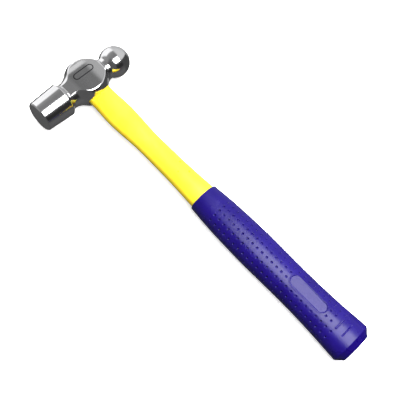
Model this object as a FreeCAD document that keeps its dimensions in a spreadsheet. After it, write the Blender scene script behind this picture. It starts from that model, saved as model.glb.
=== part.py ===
import FreeCAD, Part
import math
import os

import Sketcher

# A ball peen hammer with a steel head and a plastic-covered fibreglass handle.
#
# It is drawn about the centre of the eye, with X along the handle towards the butt, Y along the
# head towards the ball, and Z square to the cheeks. The placement at the end of the script then
# lays it on its side, with the origin under the middle of its outline.

Vector = FreeCAD.Vector
doc = FreeCAD.newDocument("ball_peen_hammer")
sheet = doc.addObject("Spreadsheet::Sheet", "dimensions")
sheet_row = 0


def dimension(alias, value, meaning):
    """Write one driving dimension to the sheet and name its cell."""
    global sheet_row
    sheet_row += 1
    sheet.set("A%d" % sheet_row, meaning)
    sheet.set("B%d" % sheet_row, str(value))
    sheet.setAlias("B%d" % sheet_row, alias)


def size(alias):
    """Read one dimension from the sheet, in millimetres."""
    return float(sheet.get(alias))


# ---------------------------------------------------------------- the head, along Y
dimension("face_y", -52.8, "striking face")
dimension("face_radius", 12.9, "flat of the striking face")
dimension("face_bevel_y", -51.8, "where the bevel round the face ends")
dimension("face_rim_radius", 13.75, "poll just behind the bevel")
dimension("shoulder_y", -26.8, "poll's shoulder")
dimension("shoulder_radius", 15.2, "poll at its shoulder")
dimension("neck_start_y", -23.9, "where the shoulder meets the neck")
dimension("neck_radius", 12.5, "neck between poll and eye")
dimension("bar_radius", 9.0, "bar inside the eye section")
dimension("peen_neck_y", 18.1, "where the peen's neck leaves the eye section")
dimension("peen_neck_radius", 10.1, "neck under the ball")
dimension("ball_radius", 14.0, "ball of the peen")
dimension("ball_y", 31.5, "centre of the ball")
dimension("shoulder_round", 0.8, "rounding of the poll's shoulder")
dimension("peen_round", 1.2, "hollow between the peen's neck and the ball")

# Sections of the eye part, front to back: name, place along the head, half height, height of the
# cheek over the axis, radius of the barrelled side, radius of the rounded rim.
EYE_SECTIONS = [
    ("stem", -23.6, 12.45, 10.9, 12.45, 1.5),
    ("neck", -18.6, 12.5, 10.9, 12.5, 1.6),
    ("flare_foot", -14.4, 14.4, 12.1, 14.4, 2.2),
    ("flare", -10.6, 17.4, 12.9, 17.4, 2.6),
    ("front_cheek", -6.3, 19.8, 13.2, 19.8, 2.8),
    ("mid_cheek", -0.7, 20.5, 13.2, 20.5, 2.8),
    ("back_cheek", 5.2, 19.6, 13.2, 20.5, 2.8),
    ("back_slope", 9.7, 16.9, 13.1, 21.0, 2.8),
    ("tail", 13.7, 13.0, 12.9, 23.0, 2.8),
    ("tail_end", 16.2, 11.2, 12.3, 16.0, 3.0),
    ("peen_root", 18.7, 10.15, 10.1, 10.7, 4.5),
]
for section, place, half_height, cheek, side_radius, rim_radius in EYE_SECTIONS:
    dimension(section + "_y", place, section + " section, place along the head")
    dimension(section + "_height", half_height, section + " section, half height")
    dimension(section + "_cheek", cheek, section + " section, cheek over the axis")
    dimension(section + "_side", side_radius, section + " section, radius of the side")
    dimension(section + "_rim", rim_radius, section + " section, radius of the rim")
dimension("mark_length", 20.4, "oval outline engraved on one cheek")
dimension("mark_width", 6.3, "its width")
dimension("mark_line", 0.7, "width of the engraved line")
dimension("mark_depth", 0.5, "depth of the engraved line")
dimension("mark_x", -3.4, "how far the oval lies from the head's axis")
dimension("mark_y", -0.5, "how far the oval lies along the head")

# ---------------------------------------------------------------- the eye and the handle's end
dimension("eye_hole_length", 11.9, "half length of the oval eye, along the head")
dimension("eye_hole_width", 8.6, "half width of the oval eye")
dimension("bond_top_x", -16.0, "top of the resin")
dimension("bond_end_x", 15.0, "lower end of the resin")
dimension("core_top_x", -15.2, "upper end of the fibreglass rod")
dimension("core_end_x", 300.0, "lower end of the fibreglass rod")
dimension("core_length", 5.6, "half length of the rod's oval section")
dimension("core_width", 4.4, "half width of the rod's oval section")

# ---------------------------------------------------------------- the grip
dimension("butt_x", 316.0, "end of the butt")
dimension("butt_length", 13.6, "half length of the butt's flat end, along the head")
dimension("butt_width", 9.4, "half width of the butt's flat end")
dimension("lip_round", 0.7, "rounding of the grip's upper lip")
dimension("panel_start_x", 242.2, "upper end of the recessed panel")
dimension("panel_end_x", 279.8, "lower end of the recessed panel")
dimension("panel_width", 9.6, "width of the recessed panel")
dimension("panel_depth", 0.9, "depth of the panel below the grip's crest")
dimension("bar_x", 293.8, "raised bar across the butt")
dimension("bar_length", 10.5, "length of the raised bar")
dimension("bar_width", 1.1, "width of the raised bar")
dimension("bar_height", 0.35, "height of the raised bar over the crest")
dimension("bar_depth", 2.0, "bar's whole depth, most of it inside the grip")
dimension("groove_x", 301.2, "groove across the butt")
dimension("groove_length", 13.0, "length of the groove")
dimension("groove_width", 0.9, "width of the groove")
dimension("groove_depth", 0.9, "depth of the groove below the crest")

# Stations along the handle: name, place, half length and half width of the oval there. Between
# the even stations of the shaft and of the grip the outline runs as one smooth curve.
JACKET_ENDS = [
    ("jacket_top", -14.5, 10.9, 7.6),
    ("jacket_foot", 303.0, 12.4, 9.0),
]
SHAFT_STATIONS = [
    ("shaft_mouth", 17.5, 11.35, 8.05),
    ("shaft_swell", 35.0, 12.0, 8.35),
    ("shaft_full", 52.5, 11.95, 8.3),
    ("shaft_fall", 70.0, 10.7, 8.1),
    ("shaft_waist", 87.5, 10.45, 8.0),
    ("shaft_rise", 105.0, 10.65, 8.3),
    ("shaft_flare", 122.5, 11.2, 8.8),
    ("shaft_wide", 140.0, 12.15, 9.3),
    ("shaft_end", 157.5, 12.4, 9.3),
]
GRIP_STATIONS = [
    ("grip_lip", 144.5, 13.8, 10.9),
    ("grip_collar", 165.2, 15.5, 11.85),
    ("grip_rise", 185.9, 16.4, 12.3),
    ("grip_palm", 206.6, 16.75, 12.6),
    ("grip_middle", 227.3, 16.5, 12.55),
    ("grip_waist", 248.0, 16.3, 12.5),
    ("grip_heel", 268.7, 16.6, 12.75),
    ("grip_flare", 289.4, 17.55, 13.4),
    ("grip_butt", 310.1, 18.95, 14.5),
]
for station, place, half_length, half_width in JACKET_ENDS + SHAFT_STATIONS + GRIP_STATIONS:
    dimension(station + "_x", place, station + ", place along the handle")
    dimension(station + "_length", half_length, station + ", half length of the oval")
    dimension(station + "_width", half_width, station + ", half width of the oval")

# ---------------------------------------------------------------- how the hammer lies
dimension("rest_height", 15.13, "head's axis above the surface the hammer lies on")
doc.recompute()


# ---------------------------------------------------------------- helpers
def origin_plane(body, role):
    """Find one of the body's own origin planes."""
    return [plane for plane in body.Origin.OriginFeatures if plane.Role == role][0]


def new_sketch(body, name, role):
    """Start a sketch on one of the body's origin planes."""
    sketch = body.newObject("Sketcher::SketchObject", name)
    sketch.AttachmentSupport = [(origin_plane(body, role), "")]
    sketch.MapMode = "FlatFace"
    return sketch


def add_outline(sketch, corners):
    """Draw a closed outline of straight sides, each corner held by two formulas of the sheet."""
    places = [Vector(sketch.evalExpression(across), sketch.evalExpression(up), 0)
              for across, up in corners]
    first = sketch.GeometryCount
    for number, place in enumerate(places):
        following = places[(number + 1) % len(places)]
        sketch.addGeometry(Part.LineSegment(place, following), False)
    for number, (across, up) in enumerate(corners):
        side = first + number
        next_side = first + (number + 1) % len(corners)
        sketch.addConstraint(Sketcher.Constraint("Coincident", side, 2, next_side, 1))
        for direction, formula in (("DistanceX", across), ("DistanceY", up)):
            value = sketch.evalExpression(formula)
            if abs(value) < 1e-9:
                axis = -2 if direction == "DistanceX" else -1
                sketch.addConstraint(Sketcher.Constraint("PointOnObject", side, 1, axis))
                continue
            held = sketch.addConstraint(Sketcher.Constraint(direction, -1, 1, side, 1, value))
            sketch.setExpression("Constraints[%d]" % held, formula)


def add_ellipse(sketch, half_length, half_width):
    """Draw an ellipse about the sketch's origin, its half axes held by formulas of the sheet."""
    long_half = sketch.evalExpression(half_length)
    short_half = sketch.evalExpression(half_width)
    first = sketch.GeometryCount
    ellipse = Part.Ellipse(Vector(long_half, 0, 0), Vector(0, short_half, 0), Vector(0, 0, 0))
    sketch.addGeometry(ellipse, False)
    sketch.exposeInternalGeometry(first)
    sketch.addConstraint(Sketcher.Constraint("Coincident", first, 3, -1, 1))
    sketch.addConstraint(Sketcher.Constraint("Horizontal", first + 1))
    for line, formula, value in ((first + 1, half_length, long_half),
                                 (first + 2, half_width, short_half)):
        held = sketch.addConstraint(Sketcher.Constraint("Distance", line, 2 * value))
        sketch.setExpression("Constraints[%d]" % held, "2 * " + formula)


def hold(sketch, constraint, alias):
    """Add one dimensional constraint, held by a cell of the sheet."""
    held = sketch.addConstraint(Sketcher.Constraint(*constraint))
    sketch.setExpression("Constraints[%d]" % held, "dimensions." + alias)


def add_slot(sketch, length, width):
    """Draw a slot along the sketch's upward axis: two straight sides with round ends."""
    radius = sketch.evalExpression(width) / 2
    reach = sketch.evalExpression(length) / 2 - radius
    first = sketch.GeometryCount
    upward, right = Vector(0, 1, 0), Vector(1, 0, 0)
    upper, lower = upward * reach, upward * -reach
    sketch.addGeometry(Part.LineSegment(lower + right * radius, upper + right * radius), False)
    sketch.addGeometry(Part.ArcOfCircle(Part.Circle(upper, Vector(0, 0, 1), radius),
                                        0, math.pi), False)
    sketch.addGeometry(Part.LineSegment(upper - right * radius, lower - right * radius), False)
    sketch.addGeometry(Part.ArcOfCircle(Part.Circle(lower, Vector(0, 0, 1), radius),
                                        math.pi, 2 * math.pi), False)
    for number in range(4):
        following = (number + 1) % 4
        sketch.addConstraint(Sketcher.Constraint("Tangent", first + number, 2, first + following, 1))
    sketch.addConstraint(Sketcher.Constraint("PointOnObject", first + 1, 3, -2))
    sketch.addConstraint(Sketcher.Constraint("Symmetric", first + 1, 3, first + 3, 3, -1, 1))
    sketch.addConstraint(Sketcher.Constraint("Equal", first + 1, first + 3))
    held = sketch.addConstraint(Sketcher.Constraint("Radius", first + 1, radius))
    sketch.setExpression("Constraints[%d]" % held, width + " / 2")
    held = sketch.addConstraint(Sketcher.Constraint("DistanceY", first + 3, 3, first + 1, 3, 2 * reach))
    sketch.setExpression("Constraints[%d]" % held, length + " - " + width)


def cut_through(body, sketch, name):
    """Cut a sketch's outline right through the body, both ways from its plane."""
    before = body.Shape.Volume
    pocket = body.newObject("PartDesign::Pocket", name)
    pocket.Profile = sketch
    pocket.Type = "ThroughAll"
    pocket.SideType = "Symmetric"
    sketch.Visibility = False
    doc.recompute()
    assert body.Shape.Volume < before - 1, name + " removed nothing"
    return pocket


def edge_names(shape, wanted):
    """Name the edges of a shape that pass a test."""
    return ["Edge%d" % (number + 1) for number, edge in enumerate(shape.Edges) if wanted(edge)]


def round_edges(body, name, radius_alias, wanted):
    """Round the edges of the body's last feature that pass a test."""
    base = body.Tip
    rounding = body.newObject("PartDesign::Fillet", name)
    rounding.Base = (base, edge_names(base.Shape, wanted))
    rounding.setExpression("Radius", "dimensions." + radius_alias)
    doc.recompute()
    return rounding


def circle_at(y_place):
    """A test for circles round the head's axis at one place along it."""
    def wanted(edge):
        box = edge.BoundBox
        return abs(box.YMin - y_place) < 0.01 and abs(box.YMax - y_place) < 0.01 and box.XLength > 1
    return wanted


def ellipse_across(name, place, half_length, half_width):
    """An oval across the handle, its length along the head, from three cells of the sheet."""
    oval = doc.addObject("Part::Ellipse", name)
    oval.Placement = FreeCAD.Placement(Vector(0, 0, 0), FreeCAD.Rotation(Vector(1, 1, 1), 120))
    oval.setExpression("Placement.Base.x", "dimensions." + place)
    oval.setExpression("MajorRadius", "dimensions." + half_length)
    oval.setExpression("MinorRadius", "dimensions." + half_width)
    return oval


def loft_along(name, ovals, straight=False):
    """A solid through a row of ovals along the handle."""
    loft = doc.addObject("Part::Loft", name)
    loft.Sections = ovals
    loft.Solid = True
    loft.Ruled = straight
    return loft


def oval_bar(name, start, end, half_length, half_width):
    """A straight bar of oval section along the handle."""
    return loft_along(name, [ellipse_across(name + "_start", start, half_length, half_width),
                             ellipse_across(name + "_end", end, half_length, half_width)], True)


def cut(name, base, tool):
    """One solid less another."""
    result = doc.addObject("Part::Cut", name)
    result.Base = base
    result.Tool = tool
    return result


def fuse(name, shapes):
    """Several solids joined into one."""
    result = doc.addObject("Part::MultiFuse", name)
    result.Shapes = shapes
    return result


# ---------------------------------------------------------------- head: poll, neck, eye, peen
head = doc.addObject("PartDesign::Body", "hammer_head")

profile = new_sketch(head, "head_profile", "XY_Plane")
add_outline(profile, [
    ("0", "dimensions.face_y"),
    ("dimensions.face_radius", "dimensions.face_y"),
    ("dimensions.face_rim_radius", "dimensions.face_bevel_y"),
    ("dimensions.shoulder_radius", "dimensions.shoulder_y"),
    ("dimensions.neck_radius", "dimensions.neck_start_y"),
    ("dimensions.neck_radius", "dimensions.stem_y"),
    ("dimensions.bar_radius", "dimensions.stem_y"),
    ("dimensions.bar_radius", "dimensions.peen_neck_y"),
    ("dimensions.peen_neck_radius", "dimensions.peen_neck_y"),
    ("dimensions.peen_neck_radius", "dimensions.ball_y"),
    ("0", "dimensions.ball_y"),
])
blank = head.newObject("PartDesign::Revolution", "head_blank")
blank.Profile = profile
blank.ReferenceAxis = (profile, ["V_Axis"])
blank.Angle = 360
profile.Visibility = False

ball = head.newObject("PartDesign::AdditiveSphere", "ball")
ball.setExpression("Radius", "dimensions.ball_radius")
ball.setExpression("Placement.Base.y", "dimensions.ball_y")
doc.recompute()
round_edges(head, "shoulder_rounding", "shoulder_round", circle_at(size("shoulder_y")))
ball_foot = size("ball_y") - math.sqrt(size("ball_radius") ** 2 - size("peen_neck_radius") ** 2)
round_edges(head, "peen_rounding", "peen_round", circle_at(ball_foot))


def eye_section(name):
    """One section of the eye part: two flat cheeks, barrelled sides and rounded rims between."""
    half_height, cheek = size(name + "_height"), size(name + "_cheek")
    side, rim = size(name + "_side"), size(name + "_rim")
    side_centre = half_height - side
    rim_across = side_centre + math.sqrt((side - rim) ** 2 - (cheek - rim) ** 2)
    rim_turn = math.atan2(cheek - rim, rim_across - side_centre)
    sketch = new_sketch(head, name + "_section", "XZ_Plane")
    sketch.setExpression("AttachmentOffset.Base.z", "-dimensions." + name + "_y")
    axis = Vector(0, 0, 1)

    def arc(across, up, radius, start, end):
        return Part.ArcOfCircle(Part.Circle(Vector(across, up, 0), axis, radius), start, end)

    half_turn, quarter = math.pi, math.pi / 2
    rim_up = cheek - rim
    sketch.addGeometry([
        Part.LineSegment(Vector(rim_across, cheek, 0), Vector(-rim_across, cheek, 0)),
        arc(-rim_across, rim_up, rim, quarter, half_turn - rim_turn),
        arc(-side_centre, 0, side, half_turn - rim_turn, half_turn + rim_turn),
        arc(-rim_across, -rim_up, rim, half_turn + rim_turn, 3 * quarter),
        Part.LineSegment(Vector(-rim_across, -cheek, 0), Vector(rim_across, -cheek, 0)),
        arc(rim_across, -rim_up, rim, 3 * quarter, 2 * half_turn - rim_turn),
        arc(side_centre, 0, side, -rim_turn, rim_turn),
        arc(rim_across, rim_up, rim, rim_turn, quarter),
    ], False)
    for edge in range(8):
        sketch.addConstraint(Sketcher.Constraint("Tangent", edge, 2, (edge + 1) % 8, 1))
    sketch.addConstraint(Sketcher.Constraint("Horizontal", 0))
    sketch.addConstraint(Sketcher.Constraint("Horizontal", 4))
    for rim_arc in (1, 3, 5, 7):
        hold(sketch, ("Radius", rim_arc, rim), name + "_rim")
    for side_arc in (2, 6):
        sketch.addConstraint(Sketcher.Constraint("PointOnObject", side_arc, 3, -1))
        hold(sketch, ("Radius", side_arc, side), name + "_side")
    hold(sketch, ("DistanceY", -1, 1, 0, 1, cheek), name + "_cheek")
    hold(sketch, ("DistanceY", 4, 1, -1, 1, cheek), name + "_cheek")
    inset = "dimensions.%s_side - dimensions.%s_height" % (name, name)
    for from_point, to_point in (((6, 3), (-1, 1)), ((-1, 1), (2, 3))):
        held = sketch.addConstraint(
            Sketcher.Constraint("DistanceX", *from_point, *to_point, -side_centre))
        sketch.setExpression("Constraints[%d]" % held, inset)
    return sketch


sections = [eye_section(station[0]) for station in EYE_SECTIONS]
eye_part = head.newObject("PartDesign::AdditiveLoft", "eye_part")
eye_part.Profile = sections[0]
eye_part.Sections = [(section, [""]) for section in sections[1:]]
eye_part.Ruled = False
doc.recompute()
for section in sections:
    section.Visibility = False

# The eye is an oval hole right through the head, square to its axis.
eye = new_sketch(head, "eye_outline", "YZ_Plane")
add_ellipse(eye, "dimensions.eye_hole_length", "dimensions.eye_hole_width")
cut_through(head, eye, "eye")

# An empty oval outline is engraved on the upper cheek.
mark = new_sketch(head, "mark_outline", "XY_Plane")
mark.setExpression("AttachmentOffset.Base.x", "dimensions.mark_x")
mark.setExpression("AttachmentOffset.Base.y", "dimensions.mark_y")
mark.setExpression("AttachmentOffset.Base.z", "dimensions.mid_cheek_cheek - dimensions.mark_depth")
add_slot(mark, "dimensions.mark_length", "dimensions.mark_width")
add_slot(mark, "(dimensions.mark_length - 2 * dimensions.mark_line)",
         "(dimensions.mark_width - 2 * dimensions.mark_line)")
before_mark = head.Shape.Volume
engraving = head.newObject("PartDesign::Pocket", "engraved_oval")
engraving.Profile = mark
engraving.Reversed = True
engraving.setExpression("Length", "2 * dimensions.mark_depth")
mark.Visibility = False
doc.recompute()
line_length = 2 * (size("mark_length") - size("mark_width")) \
    + math.pi * (size("mark_width") - size("mark_line"))
engraved = (before_mark - head.Shape.Volume) / (line_length * size("mark_line") * size("mark_depth"))
assert 0.7 < engraved < 1.1, "the oval outline is not engraved as one even line"

# ---------------------------------------------------------------- core: oval fibreglass rod
core = oval_bar("handle_core", "core_top_x", "core_end_x", "core_length", "core_width")

# ---------------------------------------------------------------- jacket: moulded over the rod
def station_ovals(stations):
    """The ovals at a list of stations."""
    return [ellipse_across(station, station + "_x", station + "_length", station + "_width")
            for station, place, half_length, half_width in stations]


def jacket_solid(name):
    """The jacket without its hollow: a straight end in the eye, the shaft, a tail in the grip."""
    top, foot = [station[0] for station in JACKET_ENDS]
    first, last = SHAFT_STATIONS[0][0], SHAFT_STATIONS[-1][0]
    pieces = [loft_along(name + "_shaft", station_ovals(SHAFT_STATIONS))]
    for stretch, start, end in (("_in_eye", top, first), ("_in_grip", last, foot)):
        ovals = [ellipse_across(name + stretch + "_" + station, station + "_x",
                                station + "_length", station + "_width")
                 for station in (start, end)]
        pieces.append(loft_along(name + stretch, ovals, True))
    return fuse(name, pieces)


jacket_outside = jacket_solid("jacket_outside")
core_space = oval_bar("core_space", "core_top_x", "core_end_x", "core_length", "core_width")
jacket = cut("handle_jacket", jacket_outside, core_space)

# ---------------------------------------------------------------- bond: resin cast in the eye
bond_outside = oval_bar("bond_outside", "bond_top_x", "bond_end_x",
                        "eye_hole_length", "eye_hole_width")
handle_end = fuse("handle_end", [
    jacket_solid("jacket_at_eye"),
    oval_bar("core_in_eye", "core_top_x", "core_end_x", "core_length", "core_width"),
])
bond = cut("eye_bond", bond_outside, handle_end)

# ---------------------------------------------------------------- grip
grip_body = loft_along("grip_body", station_ovals(GRIP_STATIONS))
grip_bevel = loft_along("grip_bevel", [
    ellipse_across("bevel_start", "grip_butt_x", "grip_butt_length", "grip_butt_width"),
    ellipse_across("bevel_end", "butt_x", "butt_length", "butt_width"),
], True)
grip_blank = fuse("grip_blank", [grip_body, grip_bevel])
doc.recompute()

lip = doc.addObject("Part::Fillet", "grip_lip_rounded")
lip.Base = grip_blank
lip_edges = [number + 1 for number, edge in enumerate(grip_blank.Shape.Edges)
             if edge.BoundBox.XMax < size("grip_lip_x") + 0.01]
lip.Edges = [(number, size("lip_round"), size("lip_round")) for number in lip_edges]


def crest_at(place):
    """Height of the grip's crest over the handle's axis, at one place along the handle."""
    ring = grip_body.Shape.slice(Vector(1, 0, 0), place)[0]
    return ring.BoundBox.ZMax


dimension("panel_floor", round(crest_at((size("panel_start_x") + size("panel_end_x")) / 2)
                               - size("panel_depth"), 2), "panel's floor above the handle's axis")
doc.recompute()
dimension("panel_ceiling", size("panel_floor") + size("grip_butt_width"), "top of the panel's cutter")
dimension("groove_floor", round(crest_at(size("groove_x")) - size("groove_depth"), 2),
          "groove's floor above the handle's axis")
doc.recompute()
dimension("groove_ceiling", size("groove_floor") + size("grip_butt_width"),
          "top of the groove's cutter")
dimension("bar_top", round(crest_at(size("bar_x")) + size("bar_height"), 2),
          "bar's top above the handle's axis")
doc.recompute()
dimension("bar_foot", size("bar_top") - size("bar_depth"), "bar's foot, inside the grip")
doc.recompute()

# The panel and the groove are cut into both faces of the grip, and the bar stands on both.
cutters = []
bars = []
for face, side in (("upper", 1), ("lower", -1)):
    panel_box = doc.addObject("Part::Box", face + "_panel_middle")
    panel_box.setExpression("Length", "dimensions.panel_end_x - dimensions.panel_start_x"
                                      " - dimensions.panel_width")
    panel_box.setExpression("Width", "dimensions.panel_width")
    panel_box.setExpression("Height", "dimensions.grip_butt_width")
    panel_box.setExpression("Placement.Base.x",
                            "dimensions.panel_start_x + dimensions.panel_width / 2")
    panel_box.setExpression("Placement.Base.y", "-dimensions.panel_width / 2")
    ends = []
    for end, place in (("start", "dimensions.panel_start_x + dimensions.panel_width / 2"),
                       ("end", "dimensions.panel_end_x - dimensions.panel_width / 2")):
        round_end = doc.addObject("Part::Cylinder", face + "_panel_" + end)
        round_end.setExpression("Radius", "dimensions.panel_width / 2")
        round_end.setExpression("Height", "dimensions.grip_butt_width")
        round_end.setExpression("Placement.Base.x", place)
        ends.append(round_end)
    groove_box = doc.addObject("Part::Box", face + "_groove")
    groove_box.setExpression("Length", "dimensions.groove_width")
    groove_box.setExpression("Width", "dimensions.groove_length")
    groove_box.setExpression("Height", "dimensions.grip_butt_width")
    groove_box.setExpression("Placement.Base.x",
                             "dimensions.groove_x - dimensions.groove_width / 2")
    groove_box.setExpression("Placement.Base.y", "-dimensions.groove_length / 2")
    bar_box = doc.addObject("Part::Box", face + "_bar")
    bar_box.setExpression("Length", "dimensions.bar_width")
    bar_box.setExpression("Width", "dimensions.bar_length")
    bar_box.setExpression("Height", "dimensions.bar_depth")
    bar_box.setExpression("Placement.Base.x", "dimensions.bar_x - dimensions.bar_width / 2")
    bar_box.setExpression("Placement.Base.y", "-dimensions.bar_length / 2")
    levels = [(piece, "panel_floor", "panel_ceiling") for piece in [panel_box] + ends]
    levels += [(groove_box, "groove_floor", "groove_ceiling"), (bar_box, "bar_foot", "bar_top")]
    for piece, floor, ceiling in levels:
        piece.setExpression("Placement.Base.z",
                            "dimensions." + floor if side > 0 else "-dimensions." + ceiling)
    cutters += [panel_box, groove_box] + ends
    bars.append(bar_box)


grip_barred = fuse("grip_barred", [lip] + bars)
grip_recesses = fuse("grip_recesses", cutters)
handle_in_grip = jacket_solid("handle_in_grip")
grip_hollow = cut("grip_hollow", grip_barred, handle_in_grip)
grip = cut("grip_sleeve", grip_hollow, grip_recesses)
doc.recompute()

# ---------------------------------------------------------------- placing and writing
# The hammer lies on its side: the origin is under the middle of its outline, on the surface.
crown = math.sqrt(size("mid_cheek_height") ** 2 - size("eye_hole_width") ** 2)
dimension("middle_x", (size("butt_x") - crown) / 2, "middle of the outline, along X")
dimension("middle_y", (size("face_y") + size("ball_y") + size("ball_radius")) / 2,
          "middle of the outline, along Y")
doc.recompute()
PARTS = {
    "hammer_head": head,
    "handle_core": core,
    "handle_jacket": jacket,
    "eye_bond": bond,
    "grip_sleeve": grip,
}
for name, piece in PARTS.items():
    piece.Label = name
    piece.setExpression("Placement.Base.x", "-dimensions.middle_x")
    piece.setExpression("Placement.Base.y", "-dimensions.middle_y")
    piece.setExpression("Placement.Base.z", "dimensions.rest_height")
doc.recompute()

for item in doc.Objects:
    assert not {"Invalid", "Error"} & set(item.State), item.Name + " failed"
os.makedirs("parts", exist_ok=True)
for name, piece in PARTS.items():
    shape = piece.Shape
    assert not shape.isNull() and shape.isValid(), name + " is not a valid shape"
    assert len(shape.Solids) == 1, name + " is not one solid"
    shape.exportStep("parts/" + name + ".step")
    print(name, "volume", round(shape.Volume, 1), "mm3")
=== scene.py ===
import math
from collections import namedtuple

import bmesh
import bpy
from mathutils import Matrix, Vector


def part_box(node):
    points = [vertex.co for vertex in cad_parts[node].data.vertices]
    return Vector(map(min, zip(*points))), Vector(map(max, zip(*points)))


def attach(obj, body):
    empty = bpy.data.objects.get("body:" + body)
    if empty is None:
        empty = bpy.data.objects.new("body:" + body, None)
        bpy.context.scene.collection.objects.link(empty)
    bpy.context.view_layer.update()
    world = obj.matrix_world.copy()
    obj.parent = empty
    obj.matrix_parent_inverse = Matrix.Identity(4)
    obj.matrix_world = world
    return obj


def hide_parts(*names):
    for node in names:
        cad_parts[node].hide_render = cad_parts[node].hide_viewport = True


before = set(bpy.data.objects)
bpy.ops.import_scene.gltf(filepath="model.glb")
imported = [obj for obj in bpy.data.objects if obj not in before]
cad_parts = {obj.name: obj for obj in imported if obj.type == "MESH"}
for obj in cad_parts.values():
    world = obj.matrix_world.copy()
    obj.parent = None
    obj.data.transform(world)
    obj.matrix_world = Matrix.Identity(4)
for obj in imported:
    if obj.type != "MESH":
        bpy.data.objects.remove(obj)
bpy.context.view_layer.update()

MM = 0.001

# ---------------------------------------------------------------- where things are
# The hammer lies on its side: X runs along the handle to the butt, Y along the head to the ball.
# Places are in millimetres from the centre of the eye, unless a comment says otherwise.
BUTT = 316.0
grip_low, grip_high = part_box("grip_sleeve")
EYE_X = grip_high[0] - BUTT * MM
AXIS_Y = (grip_low[1] + grip_high[1]) / 2
AXIS_Z = (grip_low[2] + grip_high[2]) / 2


def on_handle(distance, along_head=0.0, up=0.0):
    """A point of the scene, from millimetres along the handle, along the head and upwards."""
    return Vector((EYE_X + distance * MM, AXIS_Y + along_head * MM, AXIS_Z + up * MM))


# ---------------------------------------------------------------- node materials
def new_material(name):
    """A material whose tree holds only a shader and the output, and that shader."""
    material = bpy.data.materials.new(name)
    material.use_nodes = True
    nodes = material.node_tree.nodes
    nodes.clear()
    shader = nodes.new("ShaderNodeBsdfPrincipled")
    output = nodes.new("ShaderNodeOutputMaterial")
    material.node_tree.links.new(shader.outputs["BSDF"], output.inputs["Surface"])
    return material, shader


class Wiring:
    """Short words for making and joining the nodes of one tree."""

    def __init__(self, tree):
        self.tree = tree

    def link(self, source, target):
        self.tree.links.new(source, target)

    def feed(self, value, socket):
        """Set a socket to a number or colour, or link another node's output to it."""
        if isinstance(value, (int, float, tuple)):
            socket.default_value = value
        else:
            self.link(value, socket)

    def node(self, kind, **settings):
        made = self.tree.nodes.new(kind)
        for key, value in settings.items():
            setattr(made, key, value)
        return made

    def place(self):
        """The point being shaded, in the object's own metres."""
        return self.node("ShaderNodeTexCoord").outputs["Object"]

    def split(self, vector):
        """The X, Y and Z of a vector."""
        made = self.node("ShaderNodeSeparateXYZ")
        self.link(vector, made.inputs["Vector"])
        return made.outputs["X"], made.outputs["Y"], made.outputs["Z"]

    def scaled(self, vector, scale):
        mapping = self.node("ShaderNodeMapping")
        mapping.inputs["Scale"].default_value = scale
        self.link(vector, mapping.inputs["Vector"])
        return mapping.outputs["Vector"]

    def noise(self, vector, scale, detail=3.0, roughness=0.5):
        made = self.node("ShaderNodeTexNoise")
        made.inputs["Scale"].default_value = scale
        made.inputs["Detail"].default_value = detail
        made.inputs["Roughness"].default_value = roughness
        self.link(vector, made.inputs["Vector"])
        return made.outputs["Fac"]

    def remap(self, value, start, end, to_start=0.0, to_end=1.0):
        """Carry start to to_start and end to to_end, straight between and held beyond."""
        made = self.node("ShaderNodeMapRange")
        made.inputs["From Min"].default_value = start
        made.inputs["From Max"].default_value = end
        made.inputs["To Min"].default_value = to_start
        made.inputs["To Max"].default_value = to_end
        self.link(value, made.inputs["Value"])
        return made.outputs["Result"]

    def blend(self, factor, first, second):
        """A colour between two colours."""
        made = self.node("ShaderNodeMix", data_type="RGBA")
        self.link(factor, made.inputs[0])
        self.feed(first, made.inputs[6])
        self.feed(second, made.inputs[7])
        return made.outputs[2]

    def between(self, factor, first, second):
        """A number between two numbers."""
        made = self.node("ShaderNodeMix", data_type="FLOAT")
        self.link(factor, made.inputs[0])
        self.link(first, made.inputs[2])
        self.link(second, made.inputs[3])
        return made.outputs[0]

    def turned(self, factor, first, second):
        """A direction between two directions."""
        made = self.node("ShaderNodeMix", data_type="VECTOR")
        self.link(factor, made.inputs[0])
        self.link(first, made.inputs[4])
        self.link(second, made.inputs[5])
        return made.outputs[1]

    def maths(self, operation, first, second=0.0):
        made = self.node("ShaderNodeMath", operation=operation)
        self.feed(first, made.inputs[0])
        self.feed(second, made.inputs[1])
        return made.outputs["Value"]

    def times(self, first, second):
        return self.maths("MULTIPLY", first, second)

    def past(self, value, start):
        """How far a value is past a start, and 0 before it."""
        return self.maths("MAXIMUM", self.maths("SUBTRACT", value, start))

    def bump(self, height, strength, distance, normal=None):
        made = self.node("ShaderNodeBump")
        made.inputs["Strength"].default_value = strength
        made.inputs["Distance"].default_value = distance
        self.link(height, made.inputs["Height"])
        if normal is not None:
            self.link(normal, made.inputs["Normal"])
        return made.outputs["Normal"]


# The ground cheeks: how level a facet is there, and where along the head they begin and end.
CHEEK_LEVEL = (0.93, 0.985)
CHEEK_FRONT = (-15.0, -12.0)
CHEEK_BACK = (16.5, 18.0)
# Where the cheeks start to fall away, and how fast, in metres for each square metre beyond it.
CROWN_FALL_START, CROWN_FALL = -7.0, -45.0
PEEN_FALL_START, PEEN_FALL = 3.0, -12.0
# The engraved oval on the upper cheek: its middle, half the length of its straight sides, its
# line's radius, and the line's half width where it is full and where it has faded. The line is
# painted dark, as painted shade standing in for the shade in its cut.
MARK_X, MARK_Y, MARK_REACH, MARK_RADIUS = -3.4, -0.5, 7.05, 2.8
LINE_FULL, LINE_FADED = 0.35, 0.50

STEEL_DARK, STEEL_LIGHT = (0.60, 0.60, 0.61, 1.0), (0.66, 0.66, 0.67, 1.0)
CHEEK_STEEL = (0.42, 0.42, 0.425, 1.0)
# Painted shade: the engraved line is coloured near black to stand in for the shade in its cut.
ENGRAVED_LINE_SHADE = (0.04, 0.04, 0.045, 1.0)
GRINDING_STRETCH = (900.0, 45.0, 900.0)
GRINDING_DEPTH = 0.012


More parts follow.
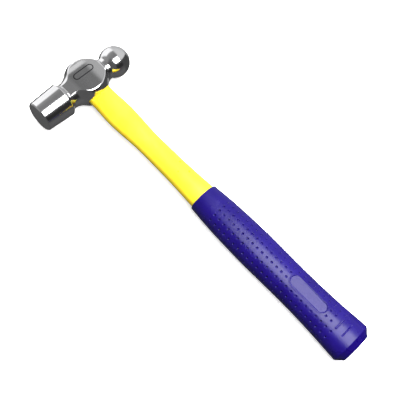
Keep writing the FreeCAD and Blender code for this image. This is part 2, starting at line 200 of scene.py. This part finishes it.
def cheek_mask(wire, true_normal, along):
    """1 on the ground cheeks, which face straight up or down, and 0 on the polished rest."""
    upright = wire.maths("ABSOLUTE", wire.split(true_normal)[2])
    level = wire.remap(upright, *CHEEK_LEVEL)
    front, front_full = (AXIS_Y + edge * MM for edge in CHEEK_FRONT)
    back_full, back = (AXIS_Y + edge * MM for edge in CHEEK_BACK)
    after_neck = wire.remap(along, front, front_full)
    before_ball = wire.remap(along, back_full, back, 1.0, 0.0)
    return wire.times(wire.times(level, after_neck), before_ball)


def engraving_shade_mask(wire, across, along, up):
    """1 on a line at an even distance round a short stretch of the upper cheek, where painted shade
    darkens the cut line.
    """
    aside = wire.maths("SUBTRACT", across, EYE_X + MARK_X * MM)
    forward = wire.maths("ABSOLUTE", wire.maths("SUBTRACT", along, AXIS_Y + MARK_Y * MM))
    beyond = wire.past(forward, MARK_REACH * MM)
    reach = wire.maths("SQRT", wire.maths("ADD", wire.times(aside, aside),
                                          wire.times(beyond, beyond)))
    off_line = wire.maths("ABSOLUTE", wire.maths("SUBTRACT", reach, MARK_RADIUS * MM))
    on_line = wire.remap(off_line, LINE_FULL * MM, LINE_FADED * MM, 1.0, 0.0)
    upper = wire.remap(up, AXIS_Z, AXIS_Z + MM)
    return wire.times(on_line, upper)


def cheek_fall(wire, across, along):
    """The height, below 0, to which grinding has brought the cheeks near the crown and the peen."""
    to_crown = wire.maths("MAXIMUM", wire.maths("SUBTRACT", EYE_X + CROWN_FALL_START * MM, across))
    to_peen = wire.past(along, AXIS_Y + PEEN_FALL_START * MM)
    return wire.maths("ADD", wire.times(wire.times(to_crown, to_crown), CROWN_FALL),
                      wire.times(wire.times(to_peen, to_peen), PEEN_FALL))


def steel_material():
    """Polished poll and ball, satin cheeks ground along the head, and painted shade along the oval
    line cut into the upper cheek.
    """
    material, shader = new_material("steel")
    wire = Wiring(material.node_tree)
    place = wire.place()
    across, along, up = wire.split(place)
    geometry = wire.node("ShaderNodeNewGeometry")
    satin = cheek_mask(wire, geometry.outputs["True Normal"], along)
    shader.inputs["Metallic"].default_value = 1.0

    streaks = wire.noise(wire.scaled(place, GRINDING_STRETCH), scale=4.0, detail=4.0, roughness=0.6)
    smears = wire.noise(place, scale=60.0)
    polished = wire.remap(smears, 0.3, 0.7, 0.09, 0.15)
    ground = wire.remap(streaks, 0.3, 0.7, 0.17, 0.25)
    wire.link(wire.between(satin, polished, ground), shader.inputs["Roughness"])

    tint = wire.blend(wire.remap(smears, 0.35, 0.65), STEEL_DARK, STEEL_LIGHT)
    duller = wire.blend(satin, tint, CHEEK_STEEL)
    # Painted shade along the engraved line.
    line_shade = engraving_shade_mask(wire, across, along, up)
    wire.link(wire.blend(line_shade, duller, ENGRAVED_LINE_SHADE), shader.inputs["Base Color"])

    # Grinding leaves marks on the cheeks, and only a trace of them shows on the polished steel.
    marks = wire.times(streaks, wire.remap(satin, 0.0, 1.0, 0.06, 1.0))
    surface = wire.maths("ADD", wire.times(marks, GRINDING_DEPTH * MM),
                         wire.times(cheek_fall(wire, across, along), satin))
    flattened = wire.turned(satin, geometry.outputs["Normal"], geometry.outputs["True Normal"])
    wire.link(wire.bump(surface, 1.0, 1.0, flattened), shader.inputs["Normal"])
    return material


YELLOW_DEEP, YELLOW_PALE = (0.93, 0.68, 0.020, 1.0), (0.96, 0.73, 0.030, 1.0)
YELLOW_DEPTH = 4.0


def yellow_material():
    """Glossy yellow plastic with a faint mould texture, which light enters a little way."""
    material, shader = new_material("yellow_plastic")
    wire = Wiring(material.node_tree)
    place = wire.place()
    mottle = wire.noise(place, scale=35.0)
    grain = wire.noise(place, scale=900.0)
    wire.link(wire.blend(wire.remap(mottle, 0.35, 0.65), YELLOW_DEEP, YELLOW_PALE),
              shader.inputs["Base Color"])
    wire.link(wire.remap(mottle, 0.3, 0.7, 0.26, 0.36), shader.inputs["Roughness"])
    wire.link(wire.bump(grain, 0.12, 0.03 * MM), shader.inputs["Normal"])
    shader.inputs["Subsurface Weight"].default_value = 0.25
    shader.inputs["Subsurface Radius"].default_value = (1.0, 0.45, 0.1)
    shader.inputs["Subsurface Scale"].default_value = YELLOW_DEPTH * MM
    return material


BLUE_DEEP, BLUE_PALE = (0.0048, 0.0010, 0.080, 1.0), (0.0068, 0.0018, 0.106, 1.0)


def blue_material():
    """Soft blue grip plastic with a satin sheen and a fine moulded grain."""
    material, shader = new_material("blue_grip")
    wire = Wiring(material.node_tree)
    place = wire.place()
    mottle = wire.noise(place, scale=55.0, detail=4.0)
    grain = wire.noise(place, scale=800.0)
    wire.link(wire.blend(wire.remap(mottle, 0.3, 0.7), BLUE_DEEP, BLUE_PALE),
              shader.inputs["Base Color"])
    wire.link(wire.remap(mottle, 0.3, 0.7, 0.23, 0.32), shader.inputs["Roughness"])
    shader.inputs["Specular IOR Level"].default_value = 0.28
    wire.link(wire.bump(grain, 0.5, 0.12 * MM), shader.inputs["Normal"])
    return material


RESIN_DARK, RESIN_LIGHT = (0.10, 0.06, 0.02, 1.0), (0.20, 0.12, 0.04, 1.0)
ROD_DARK, ROD_LIGHT = (0.55, 0.52, 0.38, 1.0), (0.70, 0.67, 0.52, 1.0)


def plain_material(name, dark, light, roughness, scale):
    """A cast or pulled material: mottled colour and a slightly uneven surface."""
    material, shader = new_material(name)
    wire = Wiring(material.node_tree)
    mottle = wire.noise(wire.place(), scale, detail=4.0)
    wire.link(wire.blend(wire.remap(mottle, 0.3, 0.7), dark, light), shader.inputs["Base Color"])
    wire.link(wire.remap(mottle, 0.3, 0.7, roughness - 0.08, roughness + 0.08),
              shader.inputs["Roughness"])
    wire.link(wire.bump(mottle, 0.3, 0.1 * MM), shader.inputs["Normal"])
    return material


def dress(node, material):
    """Give a CAD node its material."""
    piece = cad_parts[node]
    piece.data.materials.clear()
    piece.data.materials.append(material)


dress("hammer_head", steel_material())
dress("handle_jacket", yellow_material())
dress("eye_bond", plain_material("resin", RESIN_DARK, RESIN_LIGHT, roughness=0.35, scale=300.0))
dress("handle_core", plain_material("fibreglass", ROD_DARK, ROD_LIGHT, roughness=0.5, scale=700.0))

# ---------------------------------------------------------------- the grip
# Evenly spaced places along the grip, with half the length and half the width of the oval there.
GRIP_OVALS = [(144.5, 13.8, 10.9), (165.2, 15.5, 11.85), (185.9, 16.4, 12.3), (206.6, 16.75, 12.6),
              (227.3, 16.5, 12.55), (248.0, 16.3, 12.5), (268.7, 16.6, 12.75), (289.4, 17.55, 13.4),
              (310.1, 18.95, 14.5)]
GRIP_START, BEVEL_START = GRIP_OVALS[0][0], GRIP_OVALS[-1][0]
BUTT_OVAL = (13.6, 9.4)
BORE_OVAL, BORE_END = (12.3, 9.15), 303.0
LIP = 0.7

# The sunk panel: its ends, width and depth, where its wall runs about its outline, and the rim.
PANEL_START, PANEL_END, PANEL_WIDTH, PANEL_DEPTH = 242.2, 279.8, 9.6, 0.9
PANEL_WALL = (-0.35, 0.05)
RIM_PLACE, RIM_SPREAD, RIM_HEIGHT = 0.55, 0.35, 0.12

# A straight strip across the grip. Its ends fade out over end_fade, and each of its sides from
# inner within its edge to outer beyond it.
Strip = namedtuple("Strip", "place length width end_fade inner outer")
BAR = Strip(293.8, 10.5, 1.1, 0.5, 0.15, 0.2)
GROOVE = Strip(301.2, 13.0, 0.9, 1.2, 0.25, 0.15)
BAR_HEIGHT, GROOVE_DEPTH = 0.35, 0.6

# The dimples: rows round the grip, rings along it, size, and their room round panel and bar.
DIMPLE_ROWS, DIMPLE_PITCH, DIMPLE_START, DIMPLE_END = 16, 5.35, 164.3, 294.0
DIMPLE_RADIUS, DIMPLE_DEPTH, DIMPLE_WALL = 0.9, 1.2, 0.6
PANEL_ROOM, BAR_ROOM_ALONG, BAR_ROOM_ACROSS = 1.44, 3.0, 1.2

# How finely the grip is divided.
AROUND = 360
GRID_STEP = 0.27
LIP_STEPS, BEVEL_STEPS = 6, 14
BUTT_RINGS = (0.92, 0.6, 0.3, 0.05)


def bends(knots, values):
    """Second derivatives of the natural cubic spline through evenly spaced knots."""
    count = len(knots)
    step = knots[1] - knots[0]
    upper, right = [0.0] * count, [0.0] * count
    for index in range(1, count - 1):
        bend = (values[index + 1] - 2 * values[index] + values[index - 1]) * 6 / step ** 2
        pivot = 4.0 - upper[index - 1]
        upper[index] = 1.0 / pivot
        right[index] = (bend - right[index - 1]) / pivot
    second = [0.0] * count
    for index in range(count - 2, 0, -1):
        second[index] = right[index] - upper[index] * second[index + 1]
    return second


KNOTS, *OVAL_SIZES = zip(*GRIP_OVALS)
KNOT_STEP = KNOTS[1] - KNOTS[0]
CURVES = [(values, bends(KNOTS, values)) for values in OVAL_SIZES]


def oval_at(place):
    """Half the length and half the width of the grip at one place."""
    if place > BEVEL_START:
        share = (place - BEVEL_START) / (BUTT - BEVEL_START)
        return tuple(start + (end - start) * share
                     for start, end in zip(GRIP_OVALS[-1][1:], BUTT_OVAL))
    index = min(max(int((place - GRIP_START) / KNOT_STEP), 0), len(KNOTS) - 2)
    after = (place - KNOTS[index]) / KNOT_STEP
    before = 1.0 - after
    sizes = []
    for values, second in CURVES:
        straight = before * values[index] + after * values[index + 1]
        bend = ((before ** 3 - before) * second[index]
                + (after ** 3 - after) * second[index + 1]) * KNOT_STEP ** 2 / 6
        sizes.append(straight + bend)
    return tuple(sizes)


PANEL_FLOOR = oval_at((PANEL_START + PANEL_END) / 2)[1] - PANEL_DEPTH
BAR_TOP = oval_at(BAR.place)[1] + BAR_HEIGHT


def soft_step(value, low, high):
    """0 below low, 1 above high, and smooth between."""
    share = min(max((value - low) / (high - low), 0.0), 1.0)
    return share * share * (3 - 2 * share)


def ring_points(place, half_length, half_width):
    """A plain oval ring, from the crest round."""
    return [(place, half_length * math.sin(math.tau * turn / AROUND),
             half_width * math.cos(math.tau * turn / AROUND)) for turn in range(AROUND)]


def way_round(ring):
    """Each point's share of the way round its ring, and the length of the whole way."""
    lengths = [0.0]
    for first, second in zip(ring, ring[1:] + ring[:1]):
        lengths.append(lengths[-1] + math.dist(first, second))
    return [length / lengths[-1] for length in lengths[:-1]], lengths[-1]


def panel_distance(place, across):
    """Distance outside the panel's outline, negative inside it."""
    radius = PANEL_WIDTH / 2
    nearest = min(max(place, PANEL_START + radius), PANEL_END - radius)
    return math.hypot(place - nearest, across) - radius


def dimple_dip(place, across, share, outline):
    """How deep the dimples press the surface in at one point."""
    ring = round((place - DIMPLE_START) / DIMPLE_PITCH)
    ring_place = DIMPLE_START + ring * DIMPLE_PITCH
    if ring < 0 or ring_place > DIMPLE_END:
        return 0.0
    if panel_distance(ring_place, across) < PANEL_ROOM:
        return 0.0
    if ring_place > BAR.place - BAR_ROOM_ALONG and abs(across) < BAR.length / 2 + BAR_ROOM_ACROSS:
        return 0.0
    row = share * DIMPLE_ROWS - 0.5
    beside = (row - round(row)) * outline / DIMPLE_ROWS
    gap = math.hypot(place - ring_place, beside)
    bowl = max(0.0, 1.0 - (gap / DIMPLE_RADIUS) ** 2)
    return DIMPLE_DEPTH * soft_step(bowl, 0.0, DIMPLE_WALL)


def strip_share(strip, place, across):
    """1 in the middle of a strip, falling to 0 at its edges."""
    lengthwise = soft_step(strip.length / 2 - abs(across), 0.0, strip.end_fade)
    widthwise = 1.0 - soft_step(abs(place - strip.place), strip.width / 2 - strip.inner,
                                strip.width / 2 + strip.outer)
    return lengthwise * widthwise


def work_crest(point, place, across, side):
    """Sink the panel and the groove and raise the bar, at a point near the crest."""
    outside = panel_distance(place, across)
    sunk = 1.0 - soft_step(outside, *PANEL_WALL)
    rim = math.exp(-((outside - RIM_PLACE) / RIM_SPREAD) ** 2) * RIM_HEIGHT
    point.z += (side * PANEL_FLOOR - point.z) * sunk + side * rim
    raised = max(BAR_TOP, abs(point.z))
    point.z += (side * raised - point.z) * strip_share(BAR, place, across)
    point.z -= side * GROOVE_DEPTH * strip_share(GROOVE, place, across)


def shaped_ring(place):
    """A ring with the dimples, panel, bar and groove worked into it, alike above and below."""
    half_length, half_width = oval_at(place)
    ring = ring_points(place, half_length, half_width)
    shares, outline = way_round(ring)
    points = []
    for (_, across, up), share in zip(ring, shares):
        outward = Vector((0, across / half_length ** 2, up / half_width ** 2)).normalized()
        point = Vector((place, across, up)) - outward * dimple_dip(place, across, share, outline)
        if abs(across) < PANEL_WIDTH:
            work_crest(point, place, across, 1.0 if up > 0 else -1.0)
        points.append(tuple(point))
    return points


def grip_rings():
    """Rings of points from the bore's end, out over the lip and down to the middle of the butt."""
    yield ring_points(BORE_END, *BORE_OVAL)
    yield ring_points(GRIP_START, *BORE_OVAL)
    half_length, half_width = oval_at(GRIP_START + LIP)
    for step in range(LIP_STEPS + 1):
        angle = math.pi / 2 * step / LIP_STEPS
        inset = LIP * (1 - math.sin(angle))
        yield ring_points(GRIP_START + LIP * (1 - math.cos(angle)),
                          half_length - inset, half_width - inset)
    length = BEVEL_START - GRIP_START - LIP
    steps = int(length / GRID_STEP)
    for step in range(1, steps + 1):
        yield shaped_ring(GRIP_START + LIP + length * step / steps)
    for step in range(1, BEVEL_STEPS + 1):
        place = BEVEL_START + (BUTT - BEVEL_START) * step / BEVEL_STEPS
        yield ring_points(place, *oval_at(place))
    for share in BUTT_RINGS:
        yield ring_points(BUTT, BUTT_OVAL[0] * share, BUTT_OVAL[1] * share)


def build_grip():
    """The grip as one closed mesh: bore, lip, outside, bevel and butt."""
    mesh = bmesh.new()
    rows = [[mesh.verts.new(on_handle(*point)) for point in ring] for ring in grip_rings()]
    for first, second in zip(rows, rows[1:]):
        for turn in range(AROUND):
            after = (turn + 1) % AROUND
            mesh.faces.new((first[turn], first[after], second[after], second[turn]))
    mesh.faces.new(reversed(rows[0]))
    mesh.faces.new(rows[-1])
    bmesh.ops.recalc_face_normals(mesh, faces=mesh.faces)
    for face in mesh.faces:
        face.smooth = True
    data = bpy.data.meshes.new("dimpled_grip")
    mesh.to_mesh(data)
    mesh.free()
    piece = bpy.data.objects.new("dimpled_grip", data)
    bpy.context.scene.collection.objects.link(piece)
    data.materials.append(blue_material())
    return piece


grip = build_grip()
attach(grip, "root")
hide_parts("grip_sleeve")

# ---------------------------------------------------------------- floor and walls
# Half the floor's side and the walls' height, in metres.
FLOOR_REACH, WALL_HEIGHT = 3.0, 4.0
CORNERS = [(-FLOOR_REACH, -FLOOR_REACH), (FLOOR_REACH, -FLOOR_REACH),
           (FLOOR_REACH, FLOOR_REACH), (-FLOOR_REACH, FLOOR_REACH)]


def stage_surface(name, points, faces, paint_name, grey, glow):
    """A matt, glowing surface that the hammer neither reflects nor is lit by."""
    data = bpy.data.meshes.new(name)
    data.from_pydata(points, [], faces)
    surface = bpy.data.objects.new(name, data)
    bpy.context.scene.collection.objects.link(surface)
    paint, shader = new_material(paint_name)
    shader.inputs["Base Color"].default_value = (grey, grey, grey, 1.0)
    shader.inputs["Roughness"].default_value = 0.9
    shader.inputs["Emission Color"].default_value = (1.0, 1.0, 1.0, 1.0)
    shader.inputs["Emission Strength"].default_value = glow
    data.materials.append(paint)
    surface.visible_glossy = False
    surface.visible_diffuse = False
    return surface


stage_surface("floor", [(*corner, 0) for corner in CORNERS], [(0, 1, 2, 3)],
              "floor", grey=0.93, glow=0.55)
walls = stage_surface("walls", [(*corner, up) for up in (0, WALL_HEIGHT) for corner in CORNERS],
                      [(side, (side + 1) % 4, (side + 1) % 4 + 4, side + 4) for side in range(4)],
                      "wall", grey=0.9, glow=1.0)
walls.visible_shadow = False

# ---------------------------------------------------------------- light
# The studio round the hammer, as brightness against the angle in degrees about the head's axis:
# 0 is overhead, 90 towards the butt. The middle list is for light from square to the head, the
# back one for light from the ball's side, and the front one for light from the poll's.
MIDDLE_BANDS = [(-180, 0.10), (-115, 0.15), (-106, 1.5), (-56, 1.5), (-47, 0.40), (-25, 0.30),
                (-5, 0.27), (8, 0.5), (41, 0.5), (49, 0.10), (56, 0.03), (80, 0.03), (92, 0.10),
                (120, 0.16), (180, 0.10)]
BACK_BANDS = [(-180, 0.3), (-110, 0.7), (-60, 0.9), (8, 0.9), (40, 0.9), (48, 0.08), (180, 0.10)]
FRONT_BANDS = [(-180, 0.2), (-110, 0.30), (-70, 0.40), (-30, 0.35), (0, 0.13), (180, 0.13)]
# How far a direction leans along the head where each of the outer lists starts and is alone.
BACK_LEAN, FRONT_LEAN = (0.40, 0.55), (-0.30, -0.45)


def band_ramp(sky, angle_share, bands):
    """Brightness against the angle, from a list of angles in degrees."""
    ramp = sky.node("ShaderNodeValToRGB")
    stops = ramp.color_ramp.elements
    while len(stops) < len(bands):
        stops.new(1.0)
    for stop, (degrees, brightness) in zip(stops, bands):
        stop.position = degrees / 360 + 0.5
        stop.color = (brightness, brightness, brightness, 1)
    sky.link(angle_share, ramp.inputs["Fac"])
    return ramp.outputs["Color"]


def studio_world():
    """The world that the hammer stands in and that its steel reflects."""
    world = bpy.data.worlds.new("studio")
    world.use_nodes = True
    world.node_tree.nodes.clear()
    sky = Wiring(world.node_tree)
    to_butt, to_ball, overhead = sky.split(sky.node("ShaderNodeTexCoord").outputs["Generated"])
    angle = sky.maths("ARCTAN2", to_butt, overhead)
    angle_share = sky.remap(angle, -math.pi, math.pi)
    middle, back, front = (band_ramp(sky, angle_share, bands)
                           for bands in (MIDDLE_BANDS, BACK_BANDS, FRONT_BANDS))
    glow = sky.blend(sky.remap(to_ball, *BACK_LEAN), middle, back)
    glow = sky.blend(sky.remap(to_ball, *FRONT_LEAN), glow, front)
    background = sky.node("ShaderNodeBackground")
    background.inputs["Strength"].default_value = 1.0
    sky.link(glow, background.inputs["Color"])
    sky.link(background.outputs["Background"], sky.node("ShaderNodeOutputWorld").inputs["Surface"])
    return world


def softbox(name, place, width, depth, watts):
    """A rectangular light that shines straight down, its sides in metres."""
    data = bpy.data.lights.new(name, "AREA")
    data.shape = "RECTANGLE"
    data.size, data.size_y = width, depth
    data.energy = watts
    lamp = bpy.data.objects.new(name, data)
    bpy.context.scene.collection.objects.link(lamp)
    lamp.location = place
    return lamp


bpy.context.scene.world = studio_world()

# One light panel hangs level over the hammer and is seen in the steel.
softbox("panel", on_handle(315.0, 30.0, 620.0), width=0.45, depth=0.54, watts=7.2)

# Another, higher and further back, lights the floor and the plastics and isn't seen in the steel.
soft = softbox("soft", on_handle(150.0, 600.0, 1300.0), width=0.9, depth=0.9, watts=40.0)
soft.visible_glossy = False
bpy.context.scene.view_settings.view_transform = "Standard"

# ---------------------------------------------------------------- camera
# The camera looks down on the hammer from beside the handle, head at the upper left.
CAMERA_PLACE = (269.2, -214.0, 568.7)
CAMERA_RIGHT = Vector((0.6952, 0.7103, 0.1104))
CAMERA_BACK = Vector((0.2012, -0.3398, 0.9187))
LENS, SENSOR = 67.5, 36.0

camera_data = bpy.data.cameras.new("camera")
camera_data.lens = LENS
camera_data.sensor_width = SENSOR
camera = bpy.data.objects.new("camera", camera_data)
bpy.context.scene.collection.objects.link(camera)
CAMERA_UP = CAMERA_BACK.cross(CAMERA_RIGHT)
aim = Matrix((CAMERA_RIGHT, CAMERA_UP, CAMERA_BACK)).transposed()
camera.matrix_world = Matrix.Translation(on_handle(*CAMERA_PLACE)) @ aim.to_4x4()
bpy.context.scene.camera = camera
